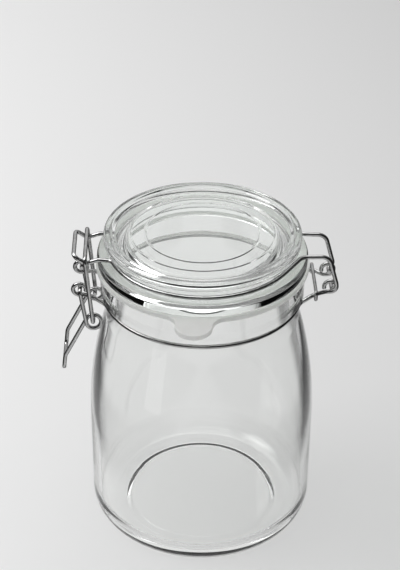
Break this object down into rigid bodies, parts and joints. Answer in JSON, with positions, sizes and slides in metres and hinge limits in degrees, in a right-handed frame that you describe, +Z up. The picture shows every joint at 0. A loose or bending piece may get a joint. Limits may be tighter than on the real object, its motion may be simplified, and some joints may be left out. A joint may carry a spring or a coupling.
{
  "type": "glass storage jar",
  "caption": "Round clear glass storage jar with a hinged glass lid, a rubber seal with a pull tab and a wire clasp, shut and empty.",
  "frame": {"origin": "centre of the glass jar's underside, on the surface that it stands on", "axes": "+Z up through the lid, +X towards the hinge, -X towards the clasp, -Y towards the seal's pull tab"},
  "size_m": [0.1336, 0.1203, 0.163],
  "materials": {
    "clear_glass": "clear, smooth moulded glass",
    "lid_glass": "clear moulded glass with a faint green tint",
    "seal_rubber": "milky, slightly clear rubber",
    "steel_wire": "bright drawn steel wire"
  },
  "bodies": {
    "jar": {"jar_glass": "clear_glass", "lid_glass": "lid_glass", "seal_ring": "seal_rubber", "lid_wire": "steel_wire", "neck_wire_front": "steel_wire", "neck_wire_rear": "steel_wire", "hinge_staple": "steel_wire"},
    "lever": {"clasp_lever": "steel_wire"},
    "bail": {"clasp_bail": "steel_wire"}
  },
  "joints": [
    {"name": "lever_swing", "type": "hinge", "parent": "jar", "child": "lever", "pos_m": [-0.05825, 0, 0.137], "axis": [0, 1, 0], "range_deg": [0, 105]},
    {"name": "bail_swing", "type": "hinge", "parent": "lever", "child": "bail", "pos_m": [-0.05244, 0, 0.12048], "axis": [0, 1, 0], "range_deg": [-51, 0]}
  ],
  "couplings": [
    {"joint": "bail_swing", "follows": "lever_swing", "ratio": -0.48}
  ]
}
